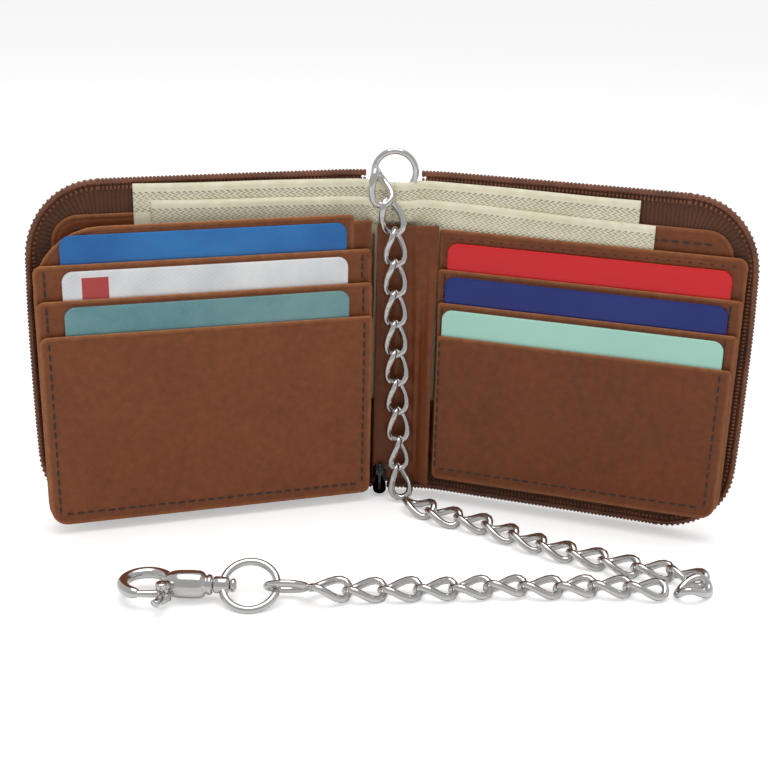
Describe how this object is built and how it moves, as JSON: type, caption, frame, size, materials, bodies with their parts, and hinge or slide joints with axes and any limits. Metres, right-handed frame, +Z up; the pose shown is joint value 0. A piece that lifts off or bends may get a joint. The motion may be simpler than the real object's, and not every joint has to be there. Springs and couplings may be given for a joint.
{
  "type": "chain wallet",
  "caption": "Zip-around bifold leather wallet with card pockets, a turning page, notes and a curb chain with a trigger clasp.",
  "frame": {"origin": "centre of the spine's lower edge, where the open wallet stands", "axes": "+Z up along the spine, +X along the open wallet to its right wing, -Y towards the reader"},
  "size_m": [0.2164, 0.0888, 0.1147],
  "materials": {
    "leather": "cognac pull-up leather",
    "leather_dark": "dark inner leather",
    "lining": "woven lining",
    "zip_tape": "woven zip tape",
    "zip_coil": "nylon coil",
    "paper": "cotton paper",
    "card_blue": "printed card",
    "card_pale": "printed card",
    "card_teal": "printed card",
    "card_red": "printed card",
    "card_navy": "printed card",
    "card_mint": "printed card",
    "window": "clear vinyl",
    "nickel": "bright nickel plate",
    "black_metal": "black lacquered zinc"
  },
  "bodies": {
    "spine": {"spine_cover": "leather", "spine_lining": "lining", "spine_panel": "leather", "page_web": "leather_dark", "ring_tab": "leather_dark", "zip_end_coil": "zip_coil", "zip_slider": "black_metal", "chain_drop": "nickel"},
    "left_wing": {"left_cover": "leather", "left_zip_tape": "zip_tape", "left_zip_coil": "zip_coil", "left_lining": "lining", "left_divider": "leather_dark", "note_back_left": "paper", "note_front_left": "paper", "left_inner_panel": "leather_dark", "left_id_window": "window"},
    "right_wing": {"right_cover": "leather", "right_zip_tape": "zip_tape", "right_zip_coil": "zip_coil", "right_lining": "lining", "right_divider": "leather_dark", "note_back_right": "paper", "note_front_right": "paper", "right_panel": "leather", "right_pocket_1": "leather", "right_pocket_2": "leather", "right_pocket_3": "leather"},
    "page": {"page_hinge_strip": "leather_dark", "page_back": "leather", "page_pocket_1": "leather", "page_pocket_2": "leather", "page_pocket_3": "leather"},
    "anchor_ring": {"anchor_ring": "nickel"},
    "zip_pull": {"zip_pull": "black_metal"},
    "chain_out": {"chain_out": "nickel"},
    "chain_back": {"chain_back": "nickel", "connector_link": "nickel", "clasp_ring": "nickel"},
    "clasp": {"clasp_body": "nickel", "trigger_pin": "nickel"},
    "trigger": {"trigger": "nickel"},
    "card_blue": {"card_blue": "card_blue"},
    "card_pale": {"card_pale": "card_pale"},
    "card_teal": {"card_teal": "card_teal"},
    "card_red": {"card_red": "card_red"},
    "card_navy": {"card_navy": "card_navy"},
    "card_mint": {"card_mint": "card_mint"}
  },
  "joints": [
    {"name": "left_wing_fold", "type": "hinge", "parent": "spine", "child": "left_wing", "pos_m": [-0.014, 0, 0], "axis": [0, 0, 1], "range_deg": [-17.5, 42.5]},
    {"name": "right_wing_fold", "type": "hinge", "parent": "spine", "child": "right_wing", "pos_m": [0.014, 0, 0], "axis": [0, 0, 1], "range_deg": [-42.5, 17.5]},
    {"name": "page_turn", "type": "hinge", "parent": "spine", "child": "page", "pos_m": [-0.0055, -0.0077, 0], "axis": [0, 0, 1], "range_deg": [-17.5, 42.5]},
    {"name": "ring_turn", "type": "hinge", "parent": "spine", "child": "anchor_ring", "pos_m": [0.0003, -0.0036, 0.1072], "axis": [0, 1, 0], "continuous": true},
    {"name": "zip_pull_swing", "type": "hinge", "parent": "spine", "child": "zip_pull", "pos_m": [-0.0022, -0.0071, 0.0106], "axis": [1, 0, 0], "range_deg": [-50, 0]},
    {"name": "chain_out_swing", "type": "hinge", "parent": "spine", "child": "chain_out", "pos_m": [0.0075, -0.0158, 0.0032], "axis": [0, 0, 1], "range_deg": [-27.2, 11.3]},
    {"name": "chain_back_swing", "type": "hinge", "parent": "chain_out", "child": "chain_back", "pos_m": [0.0794, -0.07, 0.0032], "axis": [0, 0, 1], "range_deg": [-16.2, 39.2]},
    {"name": "clasp_swivel", "type": "hinge", "parent": "chain_back", "child": "clasp", "pos_m": [-0.0475, -0.077, 0.0048], "axis": [1, 0, 0], "continuous": true},
    {"name": "trigger_press", "type": "hinge", "parent": "clasp", "child": "trigger", "pos_m": [-0.06125, -0.0822, 0.0048], "axis": [0, 0, -1], "range_deg": [0, 22], "stiffness_Nm_per_rad": 0.01, "springref_deg": -5.73},
    {"name": "card_blue_slide", "type": "slide", "parent": "page", "child": "card_blue", "axis": [0, 0, 1], "range_m": [0, 0.05]},
    {"name": "card_pale_slide", "type": "slide", "parent": "page", "child": "card_pale", "axis": [0, 0, 1], "range_m": [0, 0.05]},
    {"name": "card_teal_slide", "type": "slide", "parent": "page", "child": "card_teal", "axis": [0, 0, 1], "range_m": [0, 0.05]},
    {"name": "card_red_slide", "type": "slide", "parent": "right_wing", "child": "card_red", "axis": [0, 0, 1], "range_m": [0, 0.05]},
    {"name": "card_navy_slide", "type": "slide", "parent": "right_wing", "child": "card_navy", "axis": [0, 0, 1], "range_m": [0, 0.05]},
    {"name": "card_mint_slide", "type": "slide", "parent": "right_wing", "child": "card_mint", "axis": [0, 0, 1], "range_m": [0, 0.05]}
  ],
  "couplings": [
    {"joint": "right_wing_fold", "follows": "left_wing_fold", "ratio": -1},
    {"joint": "page_turn", "follows": "left_wing_fold", "ratio": 1},
    {"joint": "chain_out_swing", "follows": "left_wing_fold", "ratio": -0.635},
    {"joint": "chain_back_swing", "follows": "left_wing_fold", "ratio": 0.918}
  ]
}
